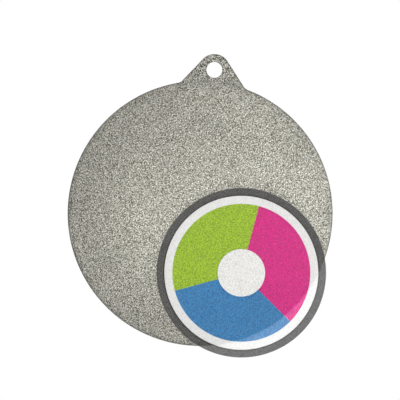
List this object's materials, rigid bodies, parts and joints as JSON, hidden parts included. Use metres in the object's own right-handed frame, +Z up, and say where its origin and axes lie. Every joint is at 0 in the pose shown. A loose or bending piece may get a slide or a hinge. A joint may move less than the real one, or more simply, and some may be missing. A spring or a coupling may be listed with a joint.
{
  "type": "collapsible reflector disc",
  "caption": "Round pop-open light reflector with a silver front, a white back, a holed hanging tab and a press-on translucent colour gel wheel on its front.",
  "frame": {"origin": "centre of the hang hole in the tab, at mid thickness, which is where a stand spigot or hook carries the disc", "axes": "+Z up through the tip of the tab, -Y out of the silver face, so +X is to the right seen from the front; the disc lies in the XZ plane below the origin"},
  "size_m": [0.3, 0.0071, 0.3393],
  "materials": {
    "silver_cloth": "grainy satin silver",
    "white_cloth": "matt fine weave",
    "lining_cloth": "matt",
    "spring_steel": "brushed",
    "thread": "matt sewing thread",
    "tab_board": "matt",
    "patch_cloth": "matt weave",
    "nickel": "satin nickel plate",
    "hub_white": "semi-gloss",
    "clear_film": "clear polyester sheet",
    "frosted_film": "frosted translucent",
    "magenta_film": "translucent gel film",
    "blue_film": "translucent gel film",
    "green_film": "translucent gel film",
    "smoked_ring": "smoked translucent"
  },
  "bodies": {
    "upper_half": {"silver_face_upper": "silver_cloth", "white_back_upper": "white_cloth", "lightproof_lining_upper": "lining_cloth", "spring_band_upper": "spring_steel", "channel_seam_upper": "thread", "tab_board": "tab_board", "tab_seam": "thread"},
    "fold_strip": {"silver_face_middle": "silver_cloth", "white_back_middle": "white_cloth", "lightproof_lining_middle": "lining_cloth", "spring_band_middle": "spring_steel", "channel_seam_middle": "thread"},
    "lower_half": {"silver_face_lower": "silver_cloth", "white_back_lower": "white_cloth", "lightproof_lining_lower": "lining_cloth", "spring_band_lower": "spring_steel", "band_splice_sleeve": "spring_steel", "channel_seam_lower": "thread", "stud_patch": "patch_cloth", "stud_patch_seam": "thread", "snap_stud": "nickel", "stud_rivet": "nickel"},
    "press_ring": {"snap_ring": "nickel"},
    "colour_wheel": {"hub_socket": "hub_white", "hub_cap": "hub_white", "clear_carrier": "clear_film", "frosted_band": "frosted_film", "magenta_film": "magenta_film", "blue_film": "blue_film", "green_film": "green_film", "wheel_ring_front": "smoked_ring", "wheel_ring_back": "smoked_ring"}
  },
  "joints": [
    {"name": "fold_upper", "type": "hinge", "parent": "upper_half", "child": "fold_strip", "pos_m": [0, 0.0022, -0.1333], "axis": [1, 0, 0], "range_deg": [0, 88], "stiffness_Nm_per_rad": 0.1, "springref_deg": -11.46},
    {"name": "fold_lower", "type": "hinge", "parent": "fold_strip", "child": "lower_half", "pos_m": [0, 0.0022, -0.1933], "axis": [1, 0, 0], "range_deg": [0, 88], "stiffness_Nm_per_rad": 0.1, "springref_deg": -11.46},
    {"name": "wheel_pull_off", "type": "slide", "parent": "lower_half", "child": "press_ring", "axis": [0, -1, 0], "range_m": [0, 0.025], "deforming": ["snap_ring"]},
    {"name": "wheel_spin", "type": "hinge", "parent": "press_ring", "child": "colour_wheel", "pos_m": [0.053, -0.0035, -0.2255], "axis": [0, 1, 0], "continuous": true}
  ],
  "couplings": [
    {"joint": "fold_lower", "follows": "fold_upper", "ratio": 1}
  ]
}
